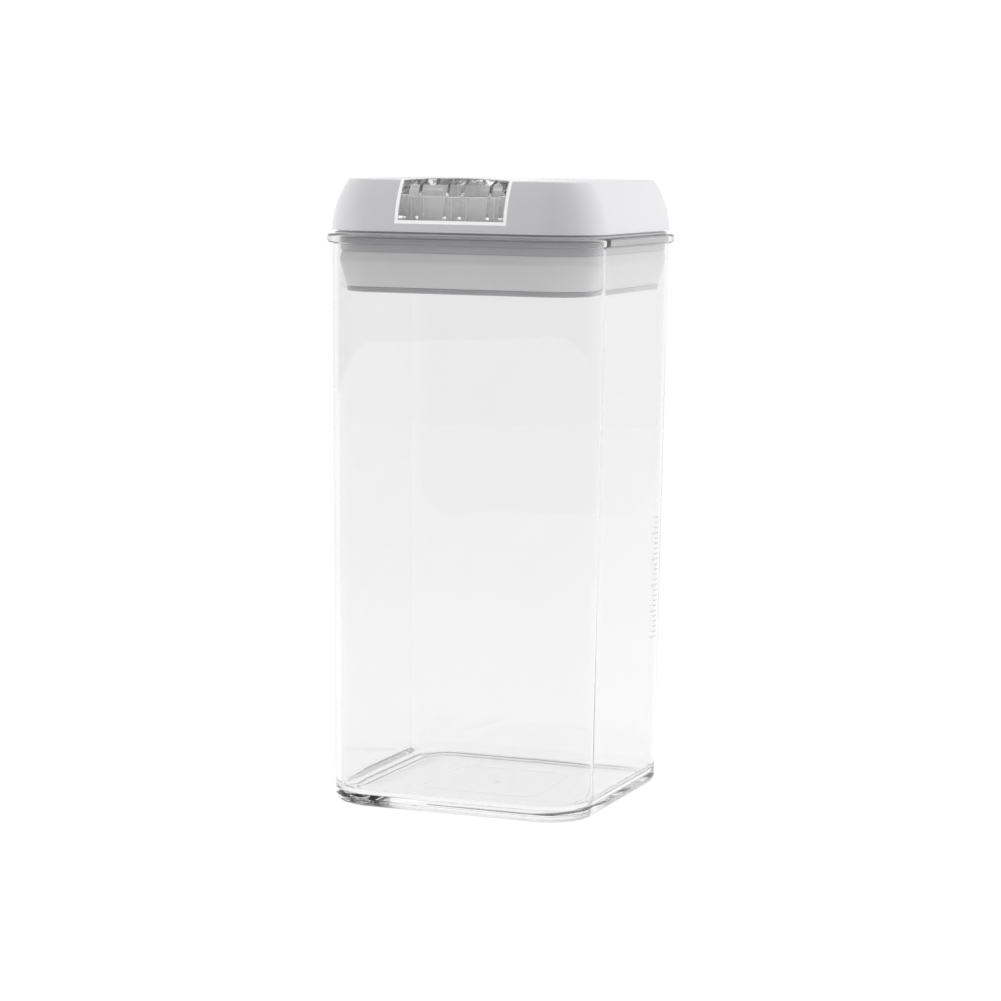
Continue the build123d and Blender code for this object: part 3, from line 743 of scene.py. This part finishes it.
studio = {
    "floorRadius": 1.5, "floorGlow": 0.91, "bounces": 32,
    "front": 0.5, "back": 1.01, "backEdge": -0.3, "backFull": 0.65,
    "camera": {"azimuth": 21.33, "height": 246.65, "distance": 1162.63, "pitch": 6.66,
               "roll": 0.65, "sensor": 36.0, "lens": 111.543177},
    "softboxes": {
        "leftSoftbox": {"azimuth": -66, "distance": 0.34, "height": 0.4, "aim": (0, 0, 0.36),
                        "size": (0.56, 0.8), "brightness": 1.3, "seen": False},
        "rightSoftbox": {"azimuth": 104, "distance": 0.42, "height": 0.4, "aim": (0, 0, 0.36),
                         "size": (0.5, 0.8), "brightness": 1.6, "seen": False},
        "topSoftbox": {"azimuth": 150, "distance": 0.4, "height": 1.5, "aim": (0, 0.1, 0),
                       "size": (1.4, 1.4), "brightness": 0.9, "seen": True}},
}


def makeFloor():
    # a dark board with a glow of its own: pale to the eye, and it throws little light back up
    bm = bmesh.new()
    bmesh.ops.create_circle(bm, cap_ends=True, segments=128, radius=studio["floorRadius"])
    floor = fromBmesh("studioFloor", bm)
    material, tree, where = startMaterial("matBoard")
    mottle = addNode(tree, "ShaderNodeTexNoise", {"Vector": (where, "Object"), "Scale": 3.0})
    colour = addNode(tree, "ShaderNodeMix", {"Factor": (mottle, "Fac"), "A": linear("#5C5C5C"),
                     "B": linear("#5E5E5E")}, data_type="RGBA")
    shader = addNode(tree, "ShaderNodeBsdfPrincipled", {
        "Base Color": (colour, "Result"), "Roughness": 0.9, "Specular IOR Level": 0.1,
        "Emission Color": (1, 1, 1, 1), "Emission Strength": studio["floorGlow"]})
    endMaterial(material, tree, shader)
    floor.data.materials.append(material)


def makeSoftbox(name, look):
    # azimuth 0 is the front (-Y) and 90 the right (+X); brightness is the panel's radiance,
    # and a panel that isn't seen lights the pieces but leaves no streak on the clear walls
    data = bpy.data.lights.new(name, "AREA")
    data.shape = "RECTANGLE"
    data.size, data.size_y = look["size"]
    data.energy = look["brightness"] * math.pi * data.size * data.size_y
    light = placed(bpy.data.objects.new(name, data))
    azimuth = math.radians(look["azimuth"])
    place = Vector((math.sin(azimuth) * look["distance"], -math.cos(azimuth) * look["distance"],
                    look["height"]))
    light.location = place
    light.rotation_mode = "QUATERNION"
    light.rotation_quaternion = (Vector(look["aim"]) - place).to_track_quat("-Z", "Y")
    light.visible_camera = False
    light.visible_glossy = light.visible_transmission = look["seen"]


def makeWorld():
    # a white room, dimmer towards the front, so that the clear walls show against it
    world = bpy.data.worlds.new("whiteRoom")
    bpy.context.scene.world = world
    world.use_nodes = True
    tree = world.node_tree
    tree.nodes.clear()
    where = addNode(tree, "ShaderNodeTexCoord")
    parts = addNode(tree, "ShaderNodeSeparateXYZ", {0: (where, "Generated")})
    back = addNode(tree, "ShaderNodeMapRange", {
        "Value": (parts, "Y"), "From Min": studio["backEdge"], "From Max": studio["backFull"],
        "To Min": studio["front"], "To Max": studio["back"]}, interpolation_type="SMOOTHSTEP")
    sky = addNode(tree, "ShaderNodeBackground", {"Color": (1, 1, 1, 1),
                  "Strength": (back, "Result")})
    addNode(tree, "ShaderNodeOutputWorld", {"Surface": (sky, 0)})


def makeCamera():
    view = studio["camera"]
    azimuth, pitch, roll = (math.radians(view[k]) for k in ("azimuth", "pitch", "roll"))
    place = Vector((view["distance"] * math.sin(azimuth), -view["distance"] * math.cos(azimuth),
                    view["height"])) * mm
    ahead = Vector((-math.sin(azimuth) * math.cos(pitch), math.cos(azimuth) * math.cos(pitch),
                    -math.sin(pitch)))
    right = Vector((math.cos(azimuth), math.sin(azimuth), 0))
    up = right.cross(ahead)
    rolledRight = right * math.cos(roll) + up * math.sin(roll)
    rolledUp = up * math.cos(roll) - right * math.sin(roll)
    data = bpy.data.cameras.new("camera")
    data.sensor_width, data.lens = view["sensor"], view["lens"]
    data.clip_start, data.clip_end = 0.05, 50.0
    camera = placed(bpy.data.objects.new("camera", data))
    turn = Matrix((rolledRight, rolledUp, -ahead)).transposed().to_4x4()
    camera.matrix_world = Matrix.Translation(place) @ turn
    bpy.context.scene.camera = camera


makeFloor()
makeWorld()
for name, look in studio["softboxes"].items():
    makeSoftbox(name, look)
makeCamera()
scene = bpy.context.scene
scene.view_settings.view_transform = "Standard"
# light runs far inside the clear floor and walls, and its edges would turn black without this
scene.cycles.max_bounces = studio["bounces"]
scene.cycles.transmission_bounces = studio["bounces"]
scene.cycles.glossy_bounces = studio["bounces"]
print("studio made")
